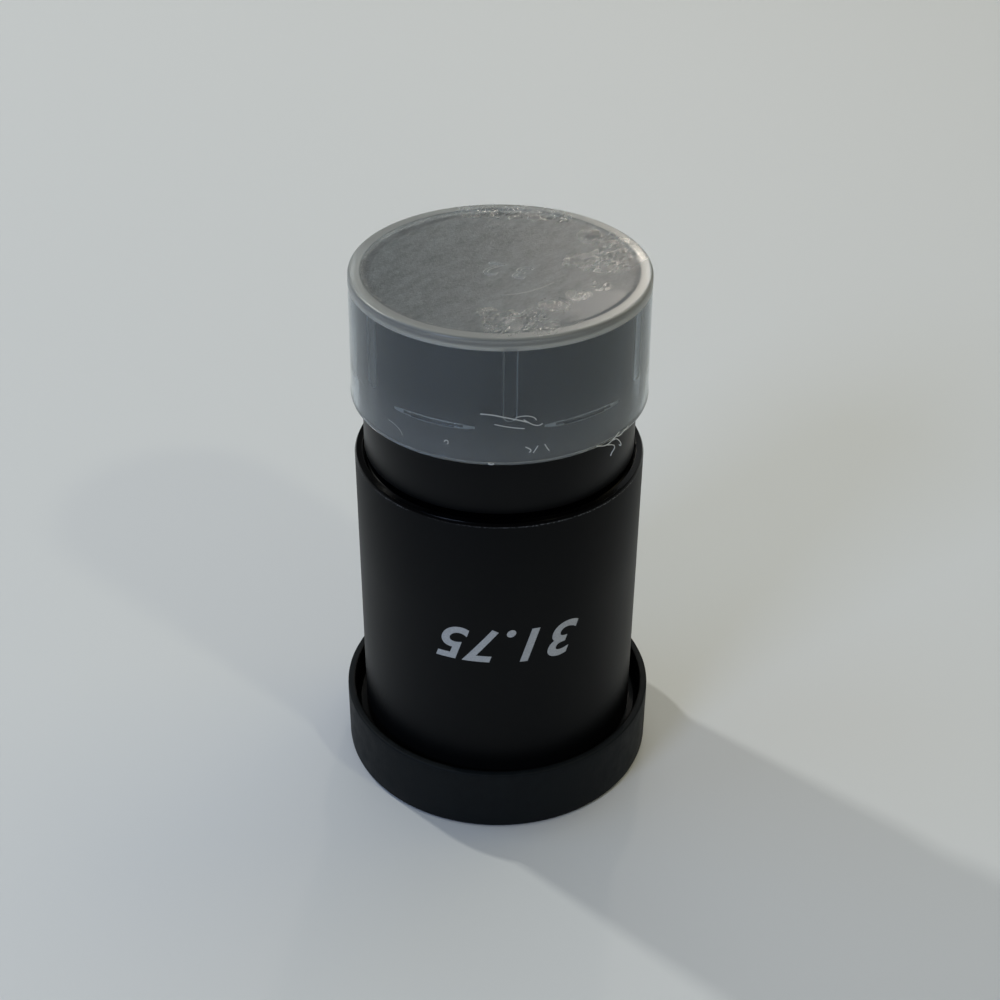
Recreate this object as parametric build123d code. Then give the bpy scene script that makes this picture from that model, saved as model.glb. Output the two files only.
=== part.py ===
from build123d import *
import os

# Short 31.75 mm Cheshire collimating eyepiece, standing upside down on its eye cap.
# Millimetres. The origin is the centre of the eye cap's underside, +Z runs up the
# optical axis towards the barrel, and the light window faces +Y.

# Eye cap, a moulded cup that the eyepiece stands in
EYE_CAP_HEIGHT = 8.65
EYE_CAP_WALL = 1.0
EYE_CAP_FLOOR = 1.5
EYE_CAP_BASE_ROUND = 0.6
EYE_CAP_RIM_ROUND = 0.3
EYE_CAP_CLEARANCE = 0.1

# Eye end, the turned piece with the peephole
FLANGE_LEDGE = 1.27
FLANGE_HEIGHT = 4.0
FLANGE_CHAMFER = 0.5
EYE_THREAD_STEP = 0.85
EYE_SPIGOT_LENGTH = 4.0
PEEPHOLE_RADIUS = 1.25
PEEPHOLE_LENGTH = 1.5
EYE_DISH_RADIUS = 8.0
EYE_DISH_DEPTH = 2.5

# Body tube
BODY_RIM_WIDTH = 0.945
BODY_WALL = 3.53
BODY_LENGTH = 38.45
BODY_TOP_CHAMFER_WIDTH = 0.18
BODY_TOP_CHAMFER_HEIGHT = 0.45
BODY_FOOT_CHAMFER = 0.3
THREAD_CLEARANCE = 0.05
BARREL_GAP = 0.21
BARREL_SEAT_DEPTH = 1.0

# Light window, milled through one side of the body tube
WINDOW_WIDTH = 20.0
WINDOW_HEIGHT = 17.0
WINDOW_CORNER = 3.0

# Reflector, a plug cut at 45 degrees
REFLECTOR_CLEARANCE = 0.05
REFLECTOR_COLLAR_HEIGHT = 1.5
REFLECTOR_FOOT_MARGIN = 0.1
SIGHT_HOLE_RADIUS = 3.0
REFLECTOR_ANGLE = 45.0

# Nosepiece barrel
BARREL_RADIUS = 15.875
BARREL_LENGTH = 21.5
BARREL_WALL = 2.475
BARREL_END_CHAMFER = 0.4
BARREL_SPIGOT_STEP = 0.975
BARREL_SPIGOT_LENGTH = 4.5
SPIGOT_END_GAP = 0.25
FILTER_THREAD_STEP = 0.6
FILTER_THREAD_LENGTH = 4.5

# Barrel cap, a thin moulded cup with inner ribs and snap beads
CAP_HEIGHT = 15.1
CAP_END_THICKNESS = 1.35
CAP_TOP_WALL = 0.72
CAP_SKIRT_WALL = 0.9
CAP_MOUTH_WALL = 1.04
CAP_FLARE_HEIGHT = 2.8
CAP_TOP_ROUND = 0.35
CAP_LIP_ROUND = 0.2
CAP_WALL_GAP = 0.275
CAP_GRIP_CLEARANCE = 0.05
RIB_COUNT = 6
RIB_WIDTH = 1.4
RIB_FOOT_HEIGHT = 5.7
FIRST_RIB_ANGLE = 4.0
BEAD_HEIGHT = 4.2
BEAD_TUBE_RADIUS = 0.4
BEAD_ARC = 36.0

# Levels along the axis
flange_foot = EYE_CAP_FLOOR
body_foot = flange_foot + FLANGE_HEIGHT
eye_spigot_top = body_foot + EYE_SPIGOT_LENGTH
collar_top = eye_spigot_top + REFLECTOR_COLLAR_HEIGHT
body_top = body_foot + BODY_LENGTH
barrel_seat = body_top - BARREL_SEAT_DEPTH
barrel_end = body_top + BARREL_LENGTH
cap_top = barrel_end + CAP_END_THICKNESS
cap_mouth = cap_top - CAP_HEIGHT

# Radii of the barrel and the cap on it, which follow the standard barrel's
barrel_bore = BARREL_RADIUS - BARREL_WALL
barrel_spigot_radius = BARREL_RADIUS - BARREL_SPIGOT_STEP
filter_thread_radius = barrel_bore + FILTER_THREAD_STEP
cap_grip = BARREL_RADIUS + CAP_GRIP_CLEARANCE
cap_bore = BARREL_RADIUS + CAP_WALL_GAP
cap_top_radius = cap_bore + CAP_TOP_WALL
cap_skirt_radius = cap_bore + CAP_SKIRT_WALL
cap_mouth_radius = cap_bore + CAP_MOUTH_WALL

# Radii of the body, from the seat round the barrel outwards and inwards
barrel_thread_bore = barrel_spigot_radius + THREAD_CLEARANCE
barrel_seat_radius = BARREL_RADIUS + BARREL_GAP
body_radius = barrel_seat_radius + BODY_RIM_WIDTH
body_bore = body_radius - BODY_WALL
reflector_radius = body_bore - REFLECTOR_CLEARANCE

# Radii of the eye end and the eye cap
eye_spigot_radius = body_bore + EYE_THREAD_STEP
eye_thread_bore = eye_spigot_radius + THREAD_CLEARANCE
flange_radius = body_radius + FLANGE_LEDGE
eye_cap_bore = flange_radius + EYE_CAP_CLEARANCE
eye_cap_radius = eye_cap_bore + EYE_CAP_WALL

# The optical axis meets the reflector here, just high enough for a whole ellipse
mirror_height = collar_top + REFLECTOR_FOOT_MARGIN + reflector_radius


def turned(*points):
    """A solid of revolution about the optical axis, from (radius, height) points."""
    return revolve(Plane.XZ * make_face(Polyline(*points, close=True)), Axis.Z)


def around(angle):
    """A turn about the axis, with 0 at the front (-Y) and positive towards +X."""
    return Rot(Z=angle)


def eye_cap():
    cup = turned(
        (0, 0),
        (eye_cap_radius, 0),
        (eye_cap_radius, EYE_CAP_HEIGHT),
        (eye_cap_bore, EYE_CAP_HEIGHT),
        (eye_cap_bore, EYE_CAP_FLOOR),
        (0, EYE_CAP_FLOOR),
    )
    rims = cup.edges().filter_by(GeomType.CIRCLE).group_by(Axis.Z)
    cup = fillet(rims[-1], EYE_CAP_RIM_ROUND)
    base = cup.edges().filter_by(GeomType.CIRCLE).group_by(Axis.Z)[0]
    return fillet(base, EYE_CAP_BASE_ROUND)


def eye_end():
    dish_top = flange_foot + EYE_DISH_DEPTH
    return turned(
        (EYE_DISH_RADIUS, flange_foot),
        (flange_radius - FLANGE_CHAMFER, flange_foot),
        (flange_radius, flange_foot + FLANGE_CHAMFER),
        (flange_radius, body_foot - FLANGE_CHAMFER),
        (flange_radius - FLANGE_CHAMFER, body_foot),
        (eye_spigot_radius, body_foot),
        (eye_spigot_radius, eye_spigot_top),
        (SIGHT_HOLE_RADIUS, eye_spigot_top),
        (SIGHT_HOLE_RADIUS, dish_top + PEEPHOLE_LENGTH),
        (PEEPHOLE_RADIUS, dish_top + PEEPHOLE_LENGTH),
        (PEEPHOLE_RADIUS, dish_top),
    )


def body_tube():
    spigot_bore_foot = barrel_seat - BARREL_SPIGOT_LENGTH - SPIGOT_END_GAP
    tube = turned(
        (eye_thread_bore, body_foot),
        (body_radius - BODY_FOOT_CHAMFER, body_foot),
        (body_radius, body_foot + BODY_FOOT_CHAMFER),
        (body_radius, body_top - BODY_TOP_CHAMFER_HEIGHT),
        (body_radius - BODY_TOP_CHAMFER_WIDTH, body_top),
        (barrel_seat_radius, body_top),
        (barrel_seat_radius, barrel_seat),
        (barrel_thread_bore, barrel_seat),
        (barrel_thread_bore, spigot_bore_foot),
        (body_bore, spigot_bore_foot),
        (body_bore, collar_top),
        (eye_thread_bore, collar_top),
    )
    outline = RectangleRounded(WINDOW_WIDTH, WINDOW_HEIGHT, WINDOW_CORNER)
    window = extrude(Plane.XZ * outline, amount=-2 * body_radius)
    return tube - Pos(Z=mirror_height) * window


def reflector():
    plug_top = mirror_height + reflector_radius
    collar_radius = eye_spigot_radius
    plug = turned(
        (SIGHT_HOLE_RADIUS, eye_spigot_top),
        (collar_radius, eye_spigot_top),
        (collar_radius, collar_top),
        (reflector_radius, collar_top),
        (reflector_radius, plug_top),
        (SIGHT_HOLE_RADIUS, plug_top),
    )
    # The face looks up the barrel and out of the window at once
    face = Plane(origin=(0, 0, mirror_height)).rotated((-REFLECTOR_ANGLE, 0, 0))
    plug_height = plug_top - eye_spigot_top
    waste = extrude(face * Rectangle(2 * plug_height, 2 * plug_height), plug_height)
    return plug - waste


def nosepiece_barrel():
    filter_thread_foot = barrel_end - FILTER_THREAD_LENGTH
    spigot_foot = barrel_seat - BARREL_SPIGOT_LENGTH
    return turned(
        (barrel_bore, spigot_foot),
        (barrel_spigot_radius, spigot_foot),
        (barrel_spigot_radius, barrel_seat),
        (BARREL_RADIUS, barrel_seat),
        (BARREL_RADIUS, barrel_end - BARREL_END_CHAMFER),
        (BARREL_RADIUS - BARREL_END_CHAMFER, barrel_end),
        (filter_thread_radius, barrel_end),
        (filter_thread_radius, filter_thread_foot),
        (barrel_bore, filter_thread_foot),
    )


def cap_shell():
    """The cap without its ribs and beads: a drafted skirt that flares at the mouth."""
    flare_start = cap_mouth + CAP_FLARE_HEIGHT
    skirt = Line((cap_top_radius, cap_top), (cap_skirt_radius, flare_start))
    flare = TangentArc(
        (cap_skirt_radius, flare_start), (cap_mouth_radius, cap_mouth), tangent=skirt % 1
    )
    inside = Polyline(
        (cap_mouth_radius, cap_mouth),
        (cap_bore, cap_mouth),
        (cap_bore, barrel_end),
        (0, barrel_end),
        (0, cap_top),
        (cap_top_radius, cap_top),
    )
    shell = revolve(Plane.XZ * make_face([skirt, flare, *inside.edges()]), Axis.Z)
    levels = shell.edges().filter_by(GeomType.CIRCLE).group_by(Axis.Z)
    shell = fillet(levels[-1], CAP_TOP_ROUND)
    mouth = shell.edges().filter_by(GeomType.CIRCLE).group_by(Axis.Z)[0]
    return fillet(mouth, CAP_LIP_ROUND)


def cap_rib():
    """One grip rib at the front, with a round foot, from the cap's end down the wall."""
    foot = cap_mouth + RIB_FOOT_HEIGHT
    length = barrel_end - foot
    straight = Pos(0, foot + length / 2) * Rectangle(RIB_WIDTH, length)
    outline = straight + Pos(0, foot) * Circle(RIB_WIDTH / 2)
    bar = extrude(Plane.XZ * outline, amount=cap_mouth_radius)
    wall_middle = (cap_bore + cap_top_radius) / 2
    ring = Cylinder(wall_middle, cap_top) - Cylinder(cap_grip, cap_top)
    return bar & Pos(Z=cap_top / 2) * ring


def cap_bead():
    """One snap bead at the front, on an arc flatter than the wall, so its ends run out."""
    level = cap_mouth + BEAD_HEIGHT
    crest = cap_grip + BEAD_TUBE_RADIUS
    end = cap_bore + BEAD_TUBE_RADIUS
    half_arc = BEAD_ARC / 2
    tips = [(around(turn) * Pos(0, -end)).position for turn in (-half_arc, half_arc)]
    path = ThreePointArc(tips[0], (0, -crest, 0), tips[1])
    section = Plane(origin=path @ 0, z_dir=path % 0) * Circle(BEAD_TUBE_RADIUS)
    return Pos(Z=level) * sweep(section, path=path)


def barrel_cap():
    cap = cap_shell()
    pitch = 360 / RIB_COUNT
    for number in range(RIB_COUNT):
        rib_angle = FIRST_RIB_ANGLE + number * pitch
        cap += around(rib_angle) * cap_rib()
        cap += around(rib_angle + pitch / 2) * cap_bead()
    return cap


PARTS = {
    "eye_cap": eye_cap,
    "eye_end": eye_end,
    "body_tube": body_tube,
    "reflector": reflector,
    "nosepiece_barrel": nosepiece_barrel,
    "barrel_cap": barrel_cap,
}

os.makedirs("parts", exist_ok=True)
for name, make in PARTS.items():
    export_step(make(), f"parts/{name}.step")
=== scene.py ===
import math

import bpy
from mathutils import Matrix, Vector


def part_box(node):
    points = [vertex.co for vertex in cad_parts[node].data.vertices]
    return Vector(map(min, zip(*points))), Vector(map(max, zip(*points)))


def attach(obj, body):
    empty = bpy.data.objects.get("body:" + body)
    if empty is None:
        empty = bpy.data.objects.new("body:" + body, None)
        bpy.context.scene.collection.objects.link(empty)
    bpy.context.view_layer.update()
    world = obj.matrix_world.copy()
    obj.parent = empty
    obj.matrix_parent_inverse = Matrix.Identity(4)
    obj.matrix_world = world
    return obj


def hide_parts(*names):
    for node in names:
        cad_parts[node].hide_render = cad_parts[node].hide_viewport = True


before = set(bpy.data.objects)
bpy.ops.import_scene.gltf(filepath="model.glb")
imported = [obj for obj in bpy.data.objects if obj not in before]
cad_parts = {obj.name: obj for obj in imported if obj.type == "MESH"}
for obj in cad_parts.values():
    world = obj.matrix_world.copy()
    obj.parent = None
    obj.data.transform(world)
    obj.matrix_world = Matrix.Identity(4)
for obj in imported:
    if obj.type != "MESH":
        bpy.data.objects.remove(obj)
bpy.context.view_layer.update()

# Pieces are modelled in millimetres, and MM turns them into Blender's metres at the end
MM = 0.001
STEPS = 256


def box_of(node):
    """A node's lowest and highest corner in millimetres."""
    low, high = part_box(node)
    return low / MM, high / MM


# Levels and radii that the frame gives
EYE_CAP_RADIUS = box_of("eye_cap")[1].x
EYE_CAP_RIM = box_of("eye_cap")[1].z
FLANGE_FOOT = box_of("eye_end")[0].z
FLANGE_RADIUS = box_of("eye_end")[1].x
BODY_RADIUS = box_of("body_tube")[1].x
BODY_FOOT = box_of("body_tube")[0].z
BODY_TOP = box_of("body_tube")[1].z
PLUG_FOOT = box_of("reflector")[0].z
PLUG_TOP = box_of("reflector")[1].z
SPIGOT_FOOT = box_of("nosepiece_barrel")[0].z
BARREL_RADIUS = box_of("nosepiece_barrel")[1].x
BARREL_END = box_of("nosepiece_barrel")[1].z
CAP_MOUTH = box_of("barrel_cap")[0].z
CAP_TOP = box_of("barrel_cap")[1].z

# A pin hole's width left at the axis of closed ends, filled with one face
AXIS_HOLE = 0.25

# Eye cap and eye end
EYE_CAP_BORE = 18.4
EYE_CAP_FLOOR = FLANGE_FOOT
EYE_SPIGOT_RADIUS = 14.35
PEEPHOLE_RADIUS = 1.25

# Body tube, reflector and barrel
BODY_BORE = 13.5
BARREL_SEAT_RADIUS = 16.085
COLLAR_TOP = PLUG_FOOT + 1.5
PLUG_RADIUS = 13.45
SIGHT_RADIUS = 3.0
MIRROR_HEIGHT = COLLAR_TOP + 0.1 + PLUG_RADIUS
BARREL_BORE = 13.4
GROOVE_HEIGHT = 0.62

# Filter thread inside the barrel's mouth
THREAD_CREST = 14.0
THREAD_ROOT = 14.35
THREAD_PITCH = 0.6
THREAD_LENGTH = 4.5

# Barrel cap
CAP_BORE = 16.15
CAP_GRIP = 15.925
CAP_TOP_RADIUS = 16.87
CAP_SKIRT_RADIUS = 17.05
CAP_LIP_RADIUS = 17.17
CAP_FLARE = 2.8
CAP_TOP_ROUND = 0.35
CAP_RIM_INSIDE = 15.5
MOUTH_STEP = 0.4
# Where the end's grain is deepest: patch centres in the top view, and their radii
GLITTER = [
    ((-3, 15), 1.6), ((0.5, 15), 1.8), ((4, 14.6), 1.6), ((6.5, 13.2), 1.2), ((10.9, 8), 1.6),
    ((9, 1.5), 1.6), ((12, 1.6), 2.2), ((14.4, 3.2), 1.6), ((13.4, 5.6), 1.5),
    ((10.8, -4.4), 0.9), ((8.4, -6.6), 1.0), ((5.8, -9), 1.3), ((2.4, -12), 1.8),
    ((0.4, -13.8), 1.6), ((4.4, -13.8), 1.5), ((-1.2, -11), 1.0),
]
# Where the end lies smooth and dark
STILL_PATCH = (11.5, -9.0)
RIB_COUNT = 6
RIB_WIDTH = 1.4
RIB_FLANK = 0.08
RIB_FOOT = CAP_MOUTH + 5.0
FIRST_RIB_ANGLE = 4.0
BEAD_HEIGHT = CAP_MOUTH + 4.2
BEAD_TUBE = 0.4
BEAD_ARC = 36.0

# Print on the body's front
PRINT_HEIGHT = 27.0
PRINT_SIDE = 1.7
PRINT_SIZE = 6.5
PRINT_PROUD = 0.02


def deselect():
    bpy.ops.object.select_all(action="DESELECT")


def activate(piece):
    deselect()
    piece.select_set(True)
    bpy.context.view_layer.objects.active = piece


def edit(piece, select="SELECT", mode="VERT"):
    activate(piece)
    bpy.ops.object.mode_set(mode="EDIT")
    bpy.ops.mesh.select_mode(type=mode)
    bpy.ops.mesh.select_all(action=select)


def leave_edit():
    bpy.ops.object.mode_set(mode="OBJECT")


def apply_place(piece):
    """Puts the piece's place into its mesh, so that its object sits at the origin."""
    activate(piece)
    bpy.ops.object.transform_apply(location=True, rotation=True, scale=True)


def apply_modifier(piece, kind, **settings):
    activate(piece)
    modifier = piece.modifiers.new(kind.title(), kind)
    for key, value in settings.items():
        setattr(modifier, key, value)
    bpy.ops.object.modifier_apply(modifier=modifier.name)


def arc(centre, radius, start, end, count):
    """Points of an arc in (radius, height) terms, its angles in degrees from outwards."""
    turns = [math.radians(start + (end - start) * i / count) for i in range(count + 1)]
    return [
        (centre[0] + radius * math.cos(turn), centre[1] + radius * math.sin(turn))
        for turn in turns
    ]


def turned(name, outline, closed=True, steps=STEPS):
    """A turned piece: a ring at the outline's first (radius, height) point is extruded
    from point to point. A closed outline meets itself, an open one ends in two centres."""
    deselect()
    radius, height = outline[0]
    bpy.ops.mesh.primitive_circle_add(
        vertices=steps, radius=radius, location=(0, 0, height)
    )
    piece = bpy.context.object
    piece.name = name
    apply_place(piece)
    edit(piece)
    path = outline + outline[:1] if closed else outline
    for (radius, height), (next_radius, next_height) in zip(path, path[1:]):
        bpy.ops.mesh.extrude_edges_move(
            TRANSFORM_OT_translate={"value": (0, 0, (next_height - height))}
        )
        scale = next_radius / radius
        bpy.ops.transform.resize(value=(scale, scale, 1), center_override=(0, 0, 0))
    if not closed:
        bpy.ops.mesh.select_all(action="SELECT")
        bpy.ops.mesh.region_to_loop()
        bpy.ops.mesh.edge_face_add()
    bpy.ops.mesh.select_all(action="SELECT")
    bpy.ops.mesh.remove_doubles(threshold=0.001)
    bpy.ops.mesh.normals_make_consistent(inside=False)
    leave_edit()
    return piece


def smooth(piece, angle=30):
    activate(piece)
    bpy.ops.object.shade_smooth_by_angle(angle=math.radians(angle))


def join(piece, *others):
    activate(piece)
    for other in others:
        other.select_set(True)
    bpy.ops.object.join()
    return piece


# Colours and nodes


def linear(hex_colour):
    """An sRGB hex colour as Blender's linear RGBA."""
    channels = [int(hex_colour[i : i + 2], 16) / 255 for i in (0, 2, 4)]
    return [c / 12.92 if c <= 0.04045 else ((c + 0.055) / 1.055) ** 2.4 for c in channels] + [1]


def add(tree, kind, settings=None, **inputs):
    """Adds a node with its settings, fills or links its inputs by name or number, and gives
    back its first output."""
    node = tree.nodes.new(kind)
    for key, value in (settings or {}).items():
        setattr(node, key, value)
    for key, value in inputs.items():
        name = int(key[1:]) if key[0] == "_" else key.replace("_", " ")
        if isinstance(value, bpy.types.NodeSocket):
            tree.links.new(value, node.inputs[name])
        else:
            node.inputs[name].default_value = value
    return next(out for out in node.outputs if out.enabled)


def material(name):
    """A new material with its tree, its shader and a source of Object coordinates."""
    made = bpy.data.materials.new(name)
    made.use_nodes = True
    tree = made.node_tree
    shader = tree.nodes["Principled BSDF"]
    place = add(tree, "ShaderNodeTexCoord").node.outputs["Object"]
    return made, tree, shader, place


def noise(tree, place, size, detail=2.0, roughness=0.5):
    """Noise whose lumps are about size millimetres across."""
    return add(
        tree, "ShaderNodeTexNoise",
        Vector=place, Scale=1 / (size * MM), Detail=detail, Roughness=roughness,
    )


def fade(tree, value, start, end):
    """0 up to the start and 1 from the end on, in millimetres or in a pattern's own value."""
    return add(tree, "ShaderNodeMapRange", Value=value, From_Min=start, From_Max=end)


def both(tree, first, second):
    return add(tree, "ShaderNodeMath", {"operation": "MULTIPLY"}, _0=first, _1=second)


def blend(tree, factor, first, second):
    """The first colour where the factor is 0, and the second where it is 1."""
    return add(tree, "ShaderNodeMix", {"data_type": "RGBA"}, Factor=factor, _6=first, _7=second)


def from_axis(tree, place, centre=(0, 0)):
    """Distance in the top view from a point given in millimetres."""
    flat = add(tree, "ShaderNodeVectorMath", {"operation": "MULTIPLY"}, _0=place, _1=(1, 1, 0))
    middle = (centre[0] * MM, centre[1] * MM, 0)
    return add(tree, "ShaderNodeVectorMath", {"operation": "DISTANCE"}, _0=flat, _1=middle)


def relief(tree, shader, height, depth):
    """Raises the surface by depth millimetres where the height is 1."""
    normal = add(tree, "ShaderNodeBump", Height=height, Distance=depth * MM)
    tree.links.new(normal, shader.inputs["Normal"])


def black_anodised(name, satin, smooth_shaded_heights, chips_and_highlight=False):
    """Aluminium, fine blasted and dyed black in the anodising bath: deep black from the
    front, with a satin sheen that turns grey where the surface bends away. Between the two
    given heights it is cut smooth, so it mirrors a little, and its colour is painted
    near-black there as painted shade: the shade down in the barrel's groove, and the dark
    that the body's rim mirrors from the barrel. A knocked edge shows a row of fine grey
    specks, partly chipped metal and partly painted highlight along the edge."""
    made, tree, shader, place = material(name)
    shader.inputs["IOR"].default_value = 1.5
    shader.inputs["Specular IOR Level"].default_value = 0.1
    height = add(tree, "ShaderNodeSeparateXYZ", Vector=place).node.outputs["Z"]
    foot, top = smooth_shaded_heights
    smooth_shaded_band = add(
        tree, "ShaderNodeMath", {"operation": "COMPARE"},
        _0=height, _1=(foot + top) / 2 * MM, _2=(top - foot) / 2 * MM,
    )
    cloud = noise(tree, place, 3.0)
    colour = blend(tree, cloud, linear("0b0c0e"), linear("0e0f10"))
    # Painted shade: near-black colour between the two given heights
    colour = blend(tree, smooth_shaded_band, colour, linear("020203"))
    if chips_and_highlight:
        edge = (BODY_TOP - 0.45) * MM
        row = add(
            tree, "ShaderNodeMath", {"operation": "COMPARE"},
            _0=height, _1=edge, _2=0.07 * MM,
        )
        chip_and_highlight_specks = fade(tree, noise(tree, place, 0.14, 1.0), 0.5, 0.62)
        chip_and_highlight_patches = fade(tree, noise(tree, place, 7.0, 1.0), 0.36, 0.6)
        mask = both(tree, row, both(tree, chip_and_highlight_specks, chip_and_highlight_patches))
        # Grey specks along the rim's lower edge: partly chipped metal, partly painted highlight
        colour = blend(tree, mask, colour, linear("707276"))
    tree.links.new(colour, shader.inputs["Base Color"])
    gloss = add(
        tree, "ShaderNodeMapRange", Value=smooth_shaded_band, To_Min=satin, To_Max=0.22,
    )
    tree.links.new(gloss, shader.inputs["Roughness"])
    relief(tree, shader, noise(tree, place, 0.1, 1.0), 0.002)
    return made


def bright_aluminium():
    """Aluminium, fine turned and left bright: silvery, with faint rings off the tool."""
    made, tree, shader, place = material("Bright aluminium, fine turned")
    shader.inputs["Metallic"].default_value = 1.0
    shader.inputs["Base Color"].default_value = linear("d9dbdd")
    shader.inputs["Roughness"].default_value = 0.3
    turns = add(tree, "ShaderNodeMath", {"operation": "SINE"}, _0=add(
        tree, "ShaderNodeMath", {"operation": "MULTIPLY"},
        _0=from_axis(tree, place), _1=math.tau / (0.18 * MM),
    ))
    relief(tree, shader, turns, 0.0012)
    return made


def black_moulding():
    """Soft black polyethylene, moulded in a spark-eroded tool: matte, a little uneven, with
    faint upright drag lines on the wall. Its inside is painted near-black, as painted shade
    in the cup's hollow."""
    made, tree, shader, place = material("Black polyethylene, matte moulded")
    shader.inputs["IOR"].default_value = 1.5
    shader.inputs["Specular IOR Level"].default_value = 0.12
    cloud = noise(tree, place, 1.6, 3.0)
    colour = blend(tree, fade(tree, cloud, 0.3, 0.75), linear("0a0f13"), linear("13181b"))
    # Painted shade: inside the cup the colour goes near-black
    inside = fade(tree, from_axis(tree, place), 18.75 * MM, 18.6 * MM)
    colour = blend(tree, inside, colour, linear("020303"))
    tree.links.new(colour, shader.inputs["Base Color"])
    rough = add(tree, "ShaderNodeMapRange", Value=cloud, From_Min=0.3, From_Max=0.7,
                To_Min=0.5, To_Max=0.62)
    tree.links.new(rough, shader.inputs["Roughness"])
    drag = add(tree, "ShaderNodeMapping", {"vector_type": "TEXTURE"}, Vector=place,
               Scale=(1, 1, 4))
    relief(tree, shader, noise(tree, drag, 0.25), 0.014)
    return made


def frosted_wall():
    """Natural polyethylene, moulded thin on a polished core: bluish and milky, but clear
    enough to show what stands behind it, and milkier where it thickens at the mouth."""
    made, tree, shader, place = material("Natural polyethylene, thin wall")
    shader.inputs["IOR"].default_value = 1.51
    shader.inputs["Transmission Weight"].default_value = 0.92
    shader.inputs["Roughness"].default_value = 0.09
    height = add(tree, "ShaderNodeSeparateXYZ", Vector=place).node.outputs["Z"]
    lip = fade(tree, height, (CAP_MOUTH + 7.0) * MM, (CAP_MOUTH + 0.5) * MM)
    colour = blend(tree, lip, linear("abb8c1"), linear("dfe8ee"))
    tree.links.new(colour, shader.inputs["Base Color"])
    relief(tree, shader, noise(tree, place, 0.8), 0.003)
    return made


def frosted_end():
    """The same polyethylene in the cap's thick end: milky round the rim, and inside it a
    crumpled grain off the mould, which glitters where it is deepest."""
    made, tree, shader, place = material("Natural polyethylene, grained end")
    shader.inputs["IOR"].default_value = 1.51
    shader.inputs["Transmission Weight"].default_value = 0.72
    height = add(tree, "ShaderNodeSeparateXYZ", Vector=place).node.outputs["Z"]
    disc = both(
        tree, fade(tree, height, (CAP_TOP - 0.3) * MM, (CAP_TOP - 0.1) * MM),
        fade(tree, from_axis(tree, place), (CAP_RIM_INSIDE + 0.1) * MM, (CAP_RIM_INSIDE - 0.1) * MM),
    )
    still = fade(tree, from_axis(tree, place, STILL_PATCH), 4.6 * MM, 3.0 * MM)
    run = add(
        tree, "ShaderNodeMapping", {"vector_type": "TEXTURE"}, Vector=place,
        Rotation=(0, 0, math.radians(55)), Scale=(2.2, 1, 1),
    )
    mottle = fade(tree, noise(tree, run, 1.1, 7.0, 0.8), 0.36, 0.64)
    colour = blend(tree, mottle, linear("6c7376"), linear("a0a8ab"))
    colour = blend(tree, still, colour, linear("7f8990"))
    colour = blend(tree, disc, linear("dcddd8"), colour)
    tree.links.new(colour, shader.inputs["Base Color"])
    deep = None
    for centre, radius in GLITTER:
        patch = fade(
            tree, from_axis(tree, place, centre), radius * 1.7 * MM, radius * 0.4 * MM
        )
        deep = patch if deep is None else add(
            tree, "ShaderNodeMath", {"operation": "MAXIMUM"}, _0=deep, _1=patch
        )
    ragged = fade(tree, noise(tree, run, 1.2, 5.0, 0.7), 0.42, 0.54)
    crumpled = both(tree, deep, ragged)
    gloss = add(tree, "ShaderNodeMapRange", Value=crumpled, To_Min=0.3, To_Max=0.15)
    tree.links.new(gloss, shader.inputs["Roughness"])
    depth = add(tree, "ShaderNodeMapRange", Value=crumpled, To_Min=0.3, To_Max=0.5)
    calm = add(tree, "ShaderNodeMapRange", Value=still, To_Min=1.0, To_Max=0.25)
    grain = both(tree, noise(tree, run, 0.3, 3.0, 0.65), both(tree, depth, calm))
    leaning = add(
        tree, "ShaderNodeTexWave", {"wave_profile": "SAW"}, Vector=place,
        Scale=math.tau / (20 * 0.55 * MM), Distortion=7.0, Detail=3.0, Detail_Scale=1.6,
    )
    shingle = both(tree, both(tree, leaning.node.outputs["Fac"], crumpled), -0.3)
    height = add(tree, "ShaderNodeMath", {"operation": "ADD"}, _0=grain, _1=shingle)
    relief(tree, shader, both(tree, height, disc), 0.2)
    return made


def frosted_mark_and_highlight():
    """The polyethylene of scuffs, threads and creases: torn or folded, so whitish. On the ribs'
    flanks inside the cap it is painted highlight, for the bright lines that the flanks throw
    through the wall.
    """
    made, tree, shader, place = material("Natural polyethylene, whitened")
    shader.inputs["Base Color"].default_value = linear("d3d5d4")
    shader.inputs["IOR"].default_value = 1.51
    shader.inputs["Transmission Weight"].default_value = 0.05
    shader.inputs["Roughness"].default_value = 0.3
    return made


def white_ink():
    """Pad-printed ink: flat grey-white, barely proud of the metal."""
    made, tree, shader, place = material("White ink, pad printed")
    shader.inputs["Roughness"].default_value = 0.6
    speckle = fade(tree, noise(tree, place, 0.2), 0.3, 0.7)
    colour = blend(tree, speckle, linear("a9acb0"), linear("bcbfc2"))
    tree.links.new(colour, shader.inputs["Base Color"])
    return made


# The body's rim is painted near-black as painted shade where it mirrors the dark barrel; its lower edge
# gets grey specks, partly chipped metal and partly painted highlight
BODY_BLACK = black_anodised(
    "Black anodised aluminium, fine blasted", 0.42, (BODY_TOP - 0.4, BODY_TOP + 0.1), chips_and_highlight=True
)
# The barrel's foot, in and around its groove, is painted near-black as painted shade
BARREL_BLACK = black_anodised(
    "Black anodised aluminium, satin turned", 0.36, (BODY_TOP - 1, BODY_TOP + GROOVE_HEIGHT)
)
BRIGHT = bright_aluminium()
BLACK_PLASTIC = black_moulding()
FROSTED = frosted_wall()
FROSTED_END = frosted_end()
FROSTED_MARK_AND_HIGHLIGHT = frosted_mark_and_highlight()
INK = white_ink()


def coat(piece, finish):
    piece.data.materials.clear()
    piece.data.materials.append(finish)


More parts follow.
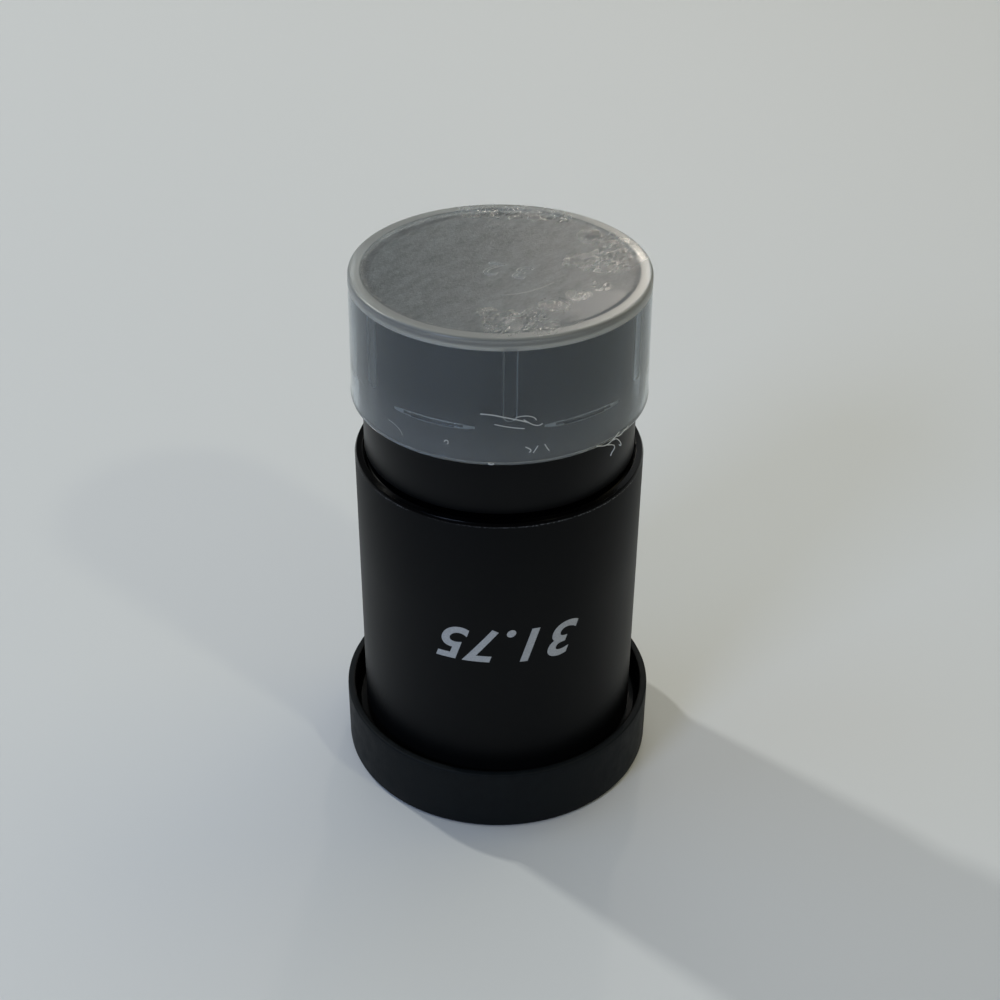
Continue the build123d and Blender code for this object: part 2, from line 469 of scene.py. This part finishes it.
def eye_cap():
    """The moulded cup that the eyepiece stands in, its rim a little uneven all round."""
    wall = EYE_CAP_RADIUS - EYE_CAP_BORE
    outline = (
        [(AXIS_HOLE, 0), (9, 0), (EYE_CAP_RADIUS - 0.7, 0)]
        + arc((EYE_CAP_RADIUS - 0.6, 0.6), 0.6, -82, 0, 6)
        + [(EYE_CAP_RADIUS, 3), (EYE_CAP_RADIUS, 6), (EYE_CAP_RADIUS, 7.6)]
        + arc((EYE_CAP_RADIUS - 0.28, EYE_CAP_RIM - 0.28), 0.28, 0, 90, 5)
        + arc((EYE_CAP_BORE + 0.2, EYE_CAP_RIM - 0.2), 0.2, 90, 180, 4)
        + [(EYE_CAP_BORE, 7.6), (EYE_CAP_BORE, 5), (EYE_CAP_BORE, EYE_CAP_FLOOR + 0.4)]
        + arc((EYE_CAP_BORE - 0.4, EYE_CAP_FLOOR + 0.4), 0.4, 0, -90, 4)[1:]
        + [(9, EYE_CAP_FLOOR), (AXIS_HOLE, EYE_CAP_FLOOR)]
    )
    cup = turned("eye_cap_moulding", outline, closed=False)
    rim = [v.index for v in cup.data.vertices if v.co.z > (EYE_CAP_RIM - wall / 2)]
    waver(cup, dict.fromkeys(rim, 1), 0.9, 0.05)
    ready(cup, BLACK_PLASTIC, "eye_cap", "black_plastic", "eye_cap")


def waver(piece, shares, size, depth, middle=1.0):
    """Moves points by a share of depth, as lumps of about size, both in millimetres: all
    inwards with middle at 1, and both ways with it at 0.5."""
    group = piece.vertex_groups.new(name="waver")
    for point, share in shares.items():
        if share > 0:
            group.add([point], share, "REPLACE")
    lumps = bpy.data.textures.new(piece.name, "CLOUDS")
    lumps.noise_scale = size
    apply_modifier(
        piece, "DISPLACE", texture=lumps, texture_coords="LOCAL",
        mid_level=middle, strength=depth, vertex_group=group.name,
    )


def ready(piece, finish, body, slot, *nodes, angle=30):
    """Finishes a piece: millimetres to metres, smooth shading, its finish, what it rides on
    and what it replaces."""
    piece.scale = (MM, MM, MM)
    apply_place(piece)
    smooth(piece, angle)
    coat(piece, finish)
    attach(piece, body)
    if nodes:
        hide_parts(*nodes)


def deburr(piece, width, angle=50):
    """Breaks every edge sharper than the angle."""
    apply_modifier(
        piece, "BEVEL", width=width, segments=2, limit_method="ANGLE",
        angle_limit=math.radians(angle), harden_normals=False,
    )


def eye_end():
    dish_top = FLANGE_FOOT + 2.5
    outline = [
        (8, FLANGE_FOOT), (FLANGE_RADIUS - 0.5, FLANGE_FOOT),
        (FLANGE_RADIUS, FLANGE_FOOT + 0.5), (FLANGE_RADIUS, BODY_FOOT - 0.5),
        (FLANGE_RADIUS - 0.5, BODY_FOOT), (EYE_SPIGOT_RADIUS, BODY_FOOT),
        (EYE_SPIGOT_RADIUS, PLUG_FOOT), (SIGHT_RADIUS, PLUG_FOOT),
        (SIGHT_RADIUS, dish_top + 1.5), (PEEPHOLE_RADIUS, dish_top + 1.5),
        (PEEPHOLE_RADIUS, dish_top),
    ]
    piece = turned("eye_end_turned", outline)
    deburr(piece, 0.08)
    ready(piece, BODY_BLACK, "eyepiece", "black_anodised", "eye_end")


def body_tube():
    """The turned body with its light window milled through the back."""
    outline = [
        (14.4, BODY_FOOT), (BODY_RADIUS - 0.3, BODY_FOOT), (BODY_RADIUS, BODY_FOOT + 0.3),
        (BODY_RADIUS, 20), (BODY_RADIUS, 30), (BODY_RADIUS, BODY_TOP - 0.45),
        (BODY_RADIUS - 0.18, BODY_TOP - 0.03), (BARREL_SEAT_RADIUS + 0.17, BODY_TOP - 0.03),
        (BARREL_SEAT_RADIUS + 0.13, BODY_TOP - 0.01), (BARREL_SEAT_RADIUS + 0.08, BODY_TOP),
        (BARREL_SEAT_RADIUS + 0.03, BODY_TOP - 0.01), (BARREL_SEAT_RADIUS, BODY_TOP - 0.04),
        (BARREL_SEAT_RADIUS, BODY_TOP - 1), (14.95, BODY_TOP - 1), (14.95, SPIGOT_FOOT - 0.25),
        (BODY_BORE, SPIGOT_FOOT - 0.25), (BODY_BORE, COLLAR_TOP), (14.4, COLLAR_TOP),
    ]
    tube = turned("body_tube_turned", outline)
    window = window_cutter()
    apply_modifier(tube, "BOOLEAN", operation="DIFFERENCE", object=window, solver="EXACT")
    bpy.data.objects.remove(window)
    deburr(tube, 0.07, 55)
    ready(tube, BODY_BLACK, "eyepiece", "black_anodised", "body_tube")


def window_cutter():
    deselect()
    bpy.ops.mesh.primitive_cube_add(size=1, location=(0, BODY_RADIUS, MIRROR_HEIGHT))
    cutter = bpy.context.object
    cutter.dimensions = (20, 2 * BODY_RADIUS, 17)
    apply_place(cutter)
    edit(cutter, "DESELECT")
    leave_edit()
    for edge in cutter.data.edges:
        ends = [cutter.data.vertices[i].co for i in edge.vertices]
        edge.select = abs(ends[0].y - ends[1].y) > 1
    bpy.ops.object.mode_set(mode="EDIT")
    bpy.ops.mesh.select_mode(type="EDGE")
    bpy.ops.mesh.bevel(offset=3, segments=10)
    leave_edit()
    return cutter


def reflector():
    """A turned plug cut off at 45 degrees, so that the face looks up and out at once."""
    outline = [
        (SIGHT_RADIUS, PLUG_FOOT), (EYE_SPIGOT_RADIUS, PLUG_FOOT),
        (EYE_SPIGOT_RADIUS, COLLAR_TOP), (PLUG_RADIUS, COLLAR_TOP),
        (PLUG_RADIUS, PLUG_TOP + 2), (SIGHT_RADIUS, PLUG_TOP + 2),
    ]
    plug = turned("reflector_turned", outline)
    edit(plug)
    bpy.ops.mesh.bisect(
        plane_co=(0, 0, MIRROR_HEIGHT), plane_no=(0, 1, 1), use_fill=True, clear_outer=True
    )
    bpy.ops.mesh.select_all(action="SELECT")
    bpy.ops.mesh.normals_make_consistent(inside=False)
    leave_edit()
    deburr(plug, 0.05)
    ready(plug, BRIGHT, "eyepiece", "bright_aluminium", "reflector")


def nosepiece_barrel():
    thread_foot = BARREL_END - THREAD_LENGTH
    outline = [
        (BARREL_BORE, SPIGOT_FOOT), (14.9, SPIGOT_FOOT), (14.9, BODY_TOP - 1),
        (BARREL_RADIUS, BODY_TOP - 1), (BARREL_RADIUS, BODY_TOP - 0.6),
        (BARREL_RADIUS - 0.25, BODY_TOP - 0.5), (BARREL_RADIUS - 0.25, BODY_TOP + 0.5),
        (BARREL_RADIUS, BODY_TOP + GROOVE_HEIGHT), (BARREL_RADIUS, 50),
        (BARREL_RADIUS, BARREL_END - 0.4),
        (BARREL_RADIUS - 0.4, BARREL_END), (THREAD_ROOT + 0.15, BARREL_END),
        (THREAD_ROOT, BARREL_END - 0.15), (THREAD_ROOT, thread_foot), (BARREL_BORE, thread_foot),
    ]
    barrel = turned("nosepiece_barrel_turned", outline)
    deburr(barrel, 0.06, 55)
    ready(barrel, BARREL_BLACK, "eyepiece", "black_anodised", "nosepiece_barrel")
    thread = filter_thread(thread_foot)
    ready(thread, BARREL_BLACK, "eyepiece", "black_anodised")


def filter_thread(foot):
    """The 0.6 mm filter thread: a three-cornered ridge wound up the barrel's mouth."""
    deselect()
    bpy.ops.mesh.primitive_circle_add(vertices=3, radius=1, fill_type="NOTHING")
    ridge = bpy.context.object
    ridge.name = "filter_thread"
    corners = [(THREAD_CREST, 0), (THREAD_ROOT + 0.05, -0.28), (THREAD_ROOT + 0.05, 0.28)]
    for vertex, (radius, height) in zip(ridge.data.vertices, corners):
        vertex.co = (radius, 0, (foot + 0.35 + height))
    turns = int((THREAD_LENGTH - 0.7) / THREAD_PITCH)
    apply_modifier(
        ridge, "SCREW", axis="Z", angle=math.tau, screw_offset=THREAD_PITCH,
        iterations=turns, steps=96, render_steps=96, use_smooth_shade=False,
    )
    edit(ridge)
    bpy.ops.mesh.fill_holes(sides=0)
    bpy.ops.mesh.select_all(action="SELECT")
    bpy.ops.mesh.normals_make_consistent(inside=False)
    leave_edit()
    return ridge


def barrel_cap():
    """The thin moulded cup over the barrel: drafted, flared at the mouth, with a small step
    round the mouth where the mould parts, and six ribs and six snap beads inside."""
    rings = 60
    rim = CAP_TOP_RADIUS - CAP_TOP_ROUND
    top = [
        (AXIS_HOLE + (rim - AXIS_HOLE) * ring / rings, CAP_TOP - cap_hollow(rim * ring / rings))
        for ring in range(rings)
    ]
    corner = arc((rim, CAP_TOP - CAP_TOP_ROUND), CAP_TOP_ROUND, 90, 2, 5)
    corner.append((CAP_TOP_RADIUS + 0.015, BARREL_END))
    drop = CAP_FLARE - MOUTH_STEP
    flare = [
        (CAP_SKIRT_RADIUS + (CAP_LIP_RADIUS - CAP_SKIRT_RADIUS) * share**2,
         CAP_MOUTH + CAP_FLARE - drop * share)
        for share in (0, 0.2, 0.4, 0.6, 0.8, 1)
    ]
    lip_radius = CAP_LIP_RADIUS - 0.05
    lip = [(lip_radius, CAP_MOUTH + MOUTH_STEP - 0.03)] + arc(
        (lip_radius - 0.16, CAP_MOUTH + 0.16), 0.16, 0, -90, 4
    )
    mouth = arc((CAP_BORE + 0.12, CAP_MOUTH + 0.12), 0.12, 270, 180, 3)
    root = arc((CAP_BORE - 0.25, BARREL_END - 0.25), 0.25, 0, 90, 4)
    inside = [(8.0, BARREL_END), (AXIS_HOLE, BARREL_END)]
    cap = turned("barrel_cap_moulding", top + corner + flare + lip + mouth + root + inside, False)
    pieces = []
    for number in range(RIB_COUNT):
        angle = math.radians(FIRST_RIB_ANGLE + 360 / RIB_COUNT * number)
        pieces.append(rib(angle))
        pieces.append(bead(angle + math.radians(180 / RIB_COUNT)))
    grips = join(*pieces)
    apply_modifier(cap, "BOOLEAN", operation="UNION", object=grips, solver="EXACT")
    bpy.data.objects.remove(grips)
    ready(cap, FROSTED, "barrel_cap", "frosted_plastic", "barrel_cap", angle=32)
    cap.data.materials.append(FROSTED_END)
    cap.data.materials.append(FROSTED_MARK_AND_HIGHLIGHT)
    # The end takes the grained finish; the ribs' flanks, and the wall where they flare into it, take
    # the whitish finish as painted highlight
    for face in cap.data.polygons:
        radius, height = face.center.xy.length / MM, face.center.z / MM
        if height > BARREL_END - 0.01:
            face.material_index = 1
        elif CAP_GRIP + 0.01 < radius < CAP_BORE - 0.01 and height > BEAD_HEIGHT + 0.6:
            face.material_index = 2
        elif CAP_BORE - 0.1 < radius < CAP_BORE - 0.01:
            face.material_index = 2
    marks = join(*flash(), *scuffs())
    ready(marks, FROSTED_MARK_AND_HIGHLIGHT, "barrel_cap", "frosted_plastic", angle=60)
    ready(end_marks(), FROSTED_MARK_AND_HIGHLIGHT, "barrel_cap", "frosted_plastic", angle=60)


def cap_hollow(radius):
    """How deep the middle of the cap's end lies below its raised smooth rim."""
    share = min(max((CAP_RIM_INSIDE - radius) / 0.5, 0), 1)
    return 0.06 * share * share * (3 - 2 * share)


def rib(angle):
    """A grip rib on the inside of the cap's wall: a bar with a half-round foot, whose flanks
    slope out to the wall."""
    radius = RIB_WIDTH / 2 - RIB_FLANK
    deselect()
    bpy.ops.mesh.primitive_circle_add(
        vertices=24, radius=radius, fill_type="NGON", rotation=(math.pi / 2, 0, 0),
        location=(0, -CAP_GRIP, RIB_FOOT + RIB_WIDTH / 2),
    )
    bar = bpy.context.object
    apply_place(bar)
    edit(bar)
    bpy.ops.mesh.bisect(
        plane_co=(0, 0, RIB_FOOT + RIB_WIDTH / 2), plane_no=(0, 0, 1), clear_outer=True
    )
    rise = BARREL_END + 0.2 - RIB_FOOT - RIB_WIDTH / 2
    bpy.ops.mesh.extrude_edges_move(TRANSFORM_OT_translate={"value": (0, 0, rise)})
    bpy.ops.mesh.select_all(action="SELECT")
    for step, spread in ((CAP_BORE - CAP_GRIP, 1 + 2 * RIB_FLANK / radius), (0.3, 1)):
        bpy.ops.mesh.extrude_region_move(TRANSFORM_OT_translate={"value": (0, -step, 0)})
        bpy.ops.transform.resize(
            value=(spread, 1, 1), center_override=(0, 0, RIB_FOOT + RIB_WIDTH / 2)
        )
    bpy.ops.mesh.select_all(action="SELECT")
    bpy.ops.mesh.normals_make_consistent(inside=False)
    leave_edit()
    turn(bar, angle)
    return bar


def bead(angle):
    """A snap bead: a thin round bar on an arc flatter than the wall, so its ends run out."""
    crest = CAP_GRIP + BEAD_TUBE
    tip = CAP_BORE + BEAD_TUBE
    half = math.radians(BEAD_ARC / 2)
    rise = crest - tip * math.cos(half)
    chord = tip * math.sin(half)
    bend = (chord**2 + rise**2) / (2 * rise)
    sweep = 2 * math.asin(chord / bend)
    centre = (0, (bend - crest), 0)
    deselect()
    bpy.ops.mesh.primitive_circle_add(
        vertices=16, radius=BEAD_TUBE, rotation=(0, math.pi / 2, 0),
        location=(0, -crest, 0), fill_type="NGON",
    )
    bar = bpy.context.object
    apply_place(bar)
    edit(bar)
    bpy.ops.transform.rotate(value=sweep / 2, orient_axis="Z", center_override=centre)
    bpy.ops.mesh.spin(steps=32, angle=sweep, center=centre, axis=(0, 0, -1))
    bpy.ops.mesh.select_all(action="SELECT")
    bpy.ops.transform.translate(value=(0, 0, BEAD_HEIGHT))
    bpy.ops.mesh.normals_make_consistent(inside=False)
    leave_edit()
    turn(bar, angle)
    return bar


def turn(piece, angle):
    """Turns a piece about the axis, from the front towards +X."""
    piece.rotation_euler = (0, 0, angle)
    apply_place(piece)


def hair(name, points, thickness):
    """A fine hair through points given as (degrees from the front, radius, height)."""
    deselect()
    bpy.ops.curve.primitive_nurbs_path_add()
    strand = bpy.context.object
    strand.name = name
    spline = strand.data.splines[0]
    spline.points.add(len(points) - len(spline.points))
    for point, (degrees, radius, height) in zip(spline.points, points):
        angle = math.radians(degrees)
        point.co = (
            radius * math.sin(angle), -radius * math.cos(angle), height, 1
        )
    strand.data.bevel_depth = thickness / 2
    strand.data.bevel_resolution = 2
    strand.data.use_fill_caps = True
    strand.data.resolution_u = 6
    activate(strand)
    bpy.ops.object.convert(target="MESH")
    return bpy.context.object


def flash():
    """Mould flash: curls and threads that hang from the right of the mouth."""
    lip = CAP_LIP_RADIUS
    strands = [
        [(38, lip, 52.0), (41, lip + 0.1, 51.7), (43, lip + 0.2, 51.5), (46, lip + 0.1, 51.9),
         (48, lip + 0.15, 52.2), (50, lip, 52.3)],
        [(43, lip + 0.1, 51.6), (45, lip + 0.3, 51.5), (47, lip + 0.3, 51.2),
         (46.5, lip + 0.4, 50.7), (45, lip + 0.3, 50.6), (44.5, lip + 0.3, 50.1)],
        [(46, lip + 0.1, 51.8), (47, lip + 0.3, 52.1), (49, lip + 0.3, 51.5),
         (50.5, lip + 0.4, 50.9), (50, lip + 0.3, 50.5), (49.5, lip + 0.2, 50.8)],
        [(48, lip, 52.0), (50, lip + 0.15, 51.8), (51, lip + 0.3, 52.3), (53, lip + 0.15, 52.4),
         (54, lip + 0.1, 52.0), (56, lip, 52.2)],
    ]
    return [hair("flash", strand, 0.11) for strand in strands]


def scuffs():
    """Creases at the front rib's foot, and small curls and nicks nearer the mouth."""
    wall = CAP_SKIRT_RADIUS - 0.01
    flare = CAP_SKIRT_RADIUS + 0.03
    strands = [
        ([(-6.7, wall, 58.0), (-3, wall, 58.0), (0, wall, 57.8), (4, wall, 57.5),
          (8, wall, 57.2), (10.6, wall, 56.9)], 0.14),
        ([(-1.7, wall, 56.8), (1, wall, 56.6), (4, wall, 56.4), (6.5, wall, 56.3),
          (9, wall, 56.2)], 0.1),
        ([(5.8, wall, 57.6), (8, wall, 57.8), (10, wall, 57.8), (13, wall, 57.6),
          (13.2, wall, 57.1)], 0.1),
        ([(8.7, wall, 57.3), (10.5, wall, 56.9), (12, wall, 56.5), (14, wall, 56.2),
          (15.6, wall, 56.6)], 0.12),
        ([(9.5, flare, 53.9), (10.8, flare, 53.7), (12, flare, 53.5), (11.6, flare, 53.3),
          (10.8, flare, 53.2)], 0.14),
        ([(12.4, flare, 53.1), (12.8, flare, 53.3), (13.2, flare, 53.5), (13.6, flare, 53.7),
          (14, flare, 53.9)], 0.1),
        ([(16.6, flare, 54), (17, flare, 53.7), (17.4, flare, 53.5), (17.8, flare, 53.3),
          (18.3, flare, 53.1)], 0.1),
        ([(-20, flare, 54), (-19.5, flare, 54.4), (-18.4, flare, 54.3), (-18.2, flare, 54),
          (-18.8, flare, 53.8)], 0.12),
        ([(-44.7, wall, 54.3), (-42, wall, 54.2), (-40, wall, 54), (-38.6, wall, 53.8),
          (-37.7, flare, 53.2)], 0.05),
        ([(-3.8, 17.12, 51.95), (-3.2, 17.14, 51.85), (-2.6, 17.14, 51.85),
          (-2.2, 17.14, 51.85), (-1.8, 17.12, 51.95)], 0.16),
    ]
    return [hair("scuff", strand, thickness) for strand, thickness in strands]


def end_marks():
    """The mould's own marks, barely raised on the cap's end: its nominal size as outlined
    figures, head down, and a piece of a ring."""
    face = CAP_TOP - cap_hollow(0)
    deselect()
    bpy.ops.object.text_add(location=(1.0, -0.9, face), rotation=(0, 0, math.pi - 0.25))
    figures = bpy.context.object
    figures.name = "end_marks"
    figures.data.body = "32"
    figures.data.size = 4.4
    figures.data.shear = 0.15
    figures.data.space_character = 1.5
    figures.data.align_x = "CENTER"
    figures.data.align_y = "CENTER"
    figures.data.fill_mode = "NONE"
    figures.data.bevel_depth = 0.05
    figures.data.bevel_resolution = 1
    figures.data.resolution_u = 4
    activate(figures)
    bpy.ops.object.convert(target="MESH")
    figures = bpy.context.object
    apply_place(figures)
    ring = [(turn, 6.9, face) for turn in (0, 15, 30, 45, 58)]
    return join(figures, hair("ring", ring, 0.12))


def body_print():
    """The barrel's size in plain figures, printed head down on the body's front."""
    deselect()
    bpy.ops.object.text_add(rotation=(math.pi / 2, math.pi, 0))
    text = bpy.context.object
    text.name = "body_print"
    text.data.body = "31.75"
    text.data.size = PRINT_SIZE
    text.data.space_character = 1.12
    text.data.shear = 0.3
    text.data.align_x = "CENTER"
    text.data.align_y = "CENTER"
    text.data.offset = 0.13
    text.location = (PRINT_SIDE, -30, PRINT_HEIGHT)
    activate(text)
    bpy.ops.object.convert(target="MESH")
    text = bpy.context.object
    apply_place(text)
    edit(text)
    for cut in range(-50, 51):
        bpy.ops.mesh.select_all(action="SELECT")
        bpy.ops.mesh.bisect(plane_co=(cut * 0.25, 0, 0), plane_no=(1, 0, 0))
    bpy.ops.mesh.select_all(action="SELECT")
    bpy.ops.mesh.quads_convert_to_tris()
    leave_edit()
    for vertex in text.data.vertices:
        radius = BODY_RADIUS + PRINT_PROUD
        vertex.co.y = -math.sqrt((radius) ** 2 - vertex.co.x**2)
    apply_modifier(text, "SOLIDIFY", thickness=0.05, offset=-1.0)
    ready(text, INK, "eyepiece", "black_anodised", angle=60)


eye_cap()
eye_end()
body_tube()
reflector()
nosepiece_barrel()
body_print()
barrel_cap()

# Stage


def look_at(thing, target):
    thing.rotation_euler = (Vector(target) - Vector(thing.location)).to_track_quat("-Z", "Y").to_euler()


def camera():
    pitch = 34.16
    data = bpy.data.cameras.new("camera")
    data.sensor_width = 36.0
    data.lens = 58.46
    made = bpy.data.objects.new("camera", data)
    bpy.context.scene.collection.objects.link(made)
    made.location = (0.15 * MM, -162.6 * MM, 146.0 * MM)
    made.rotation_mode = "QUATERNION"
    from mathutils import Euler, Quaternion
    tilt = Euler((math.radians(90 - pitch), 0, 0)).to_quaternion()
    roll = Quaternion((0, 0, 1), math.radians(0.45))
    made.rotation_quaternion = tilt @ roll
    bpy.context.scene.camera = made
    return made


def lamp(name, azimuth, elevation, distance, size, power, colour):
    """A soft square lamp. Azimuth 0 is behind the object and 90 to its right."""
    data = bpy.data.lights.new(name, "AREA")
    data.size = size
    data.energy = power
    data.color = linear(colour)[:3]
    made = bpy.data.objects.new(name, data)
    bpy.context.scene.collection.objects.link(made)
    a, e = math.radians(azimuth), math.radians(elevation)
    made.location = (
        distance * math.sin(a) * math.cos(e),
        distance * math.cos(a) * math.cos(e),
        distance * math.sin(e),
    )
    look_at(made, (0, 0, 0.03))
    return made


def studio():
    world = bpy.data.worlds.new("studio")
    bpy.context.scene.world = world
    world.use_nodes = True
    back = world.node_tree.nodes["Background"]
    back.inputs["Color"].default_value = linear("eef0ee")
    back.inputs["Strength"].default_value = 0.1
    for name, azimuth, elevation, size, power, colour in (
        ("desk_lamp", -49.5, 42, 0.045, 2.32, "fefff7"),
        ("near_window", -140, 35, 0.25, 2.3, "c5d9ff"),
        ("ceiling", 0, 88, 1.2, 1.75, "fffbe9"),
        ("far_window", 12, 50, 0.8, 1.45, "f6fcff"),
        ("warm_wall", 60, 50, 0.5, 1.0, "fff0b9"),
        ("ceiling_spot", 133.5, 46, 0.05, 0.75, "fffde1"),
        ("sky_window", -90, 50, 0.5, 0.9, "a9d2ff"),
        ("far_lamp", 8, 31, 0.045, 0.45, "fff3e4"),
    ):
        lamp(name, azimuth, elevation, 1.0, size, power, colour)
    deselect()
    bpy.ops.mesh.primitive_plane_add(size=4)
    floor = bpy.context.object
    floor.name = "floor"
    made, tree, shader, place = material("Laminate, satin white")
    shader.inputs["Base Color"].default_value = linear("dbdddf")
    shader.inputs["Roughness"].default_value = 0.6
    coat(floor, made)


camera()
studio()
bpy.context.scene.view_settings.view_transform = "Standard"
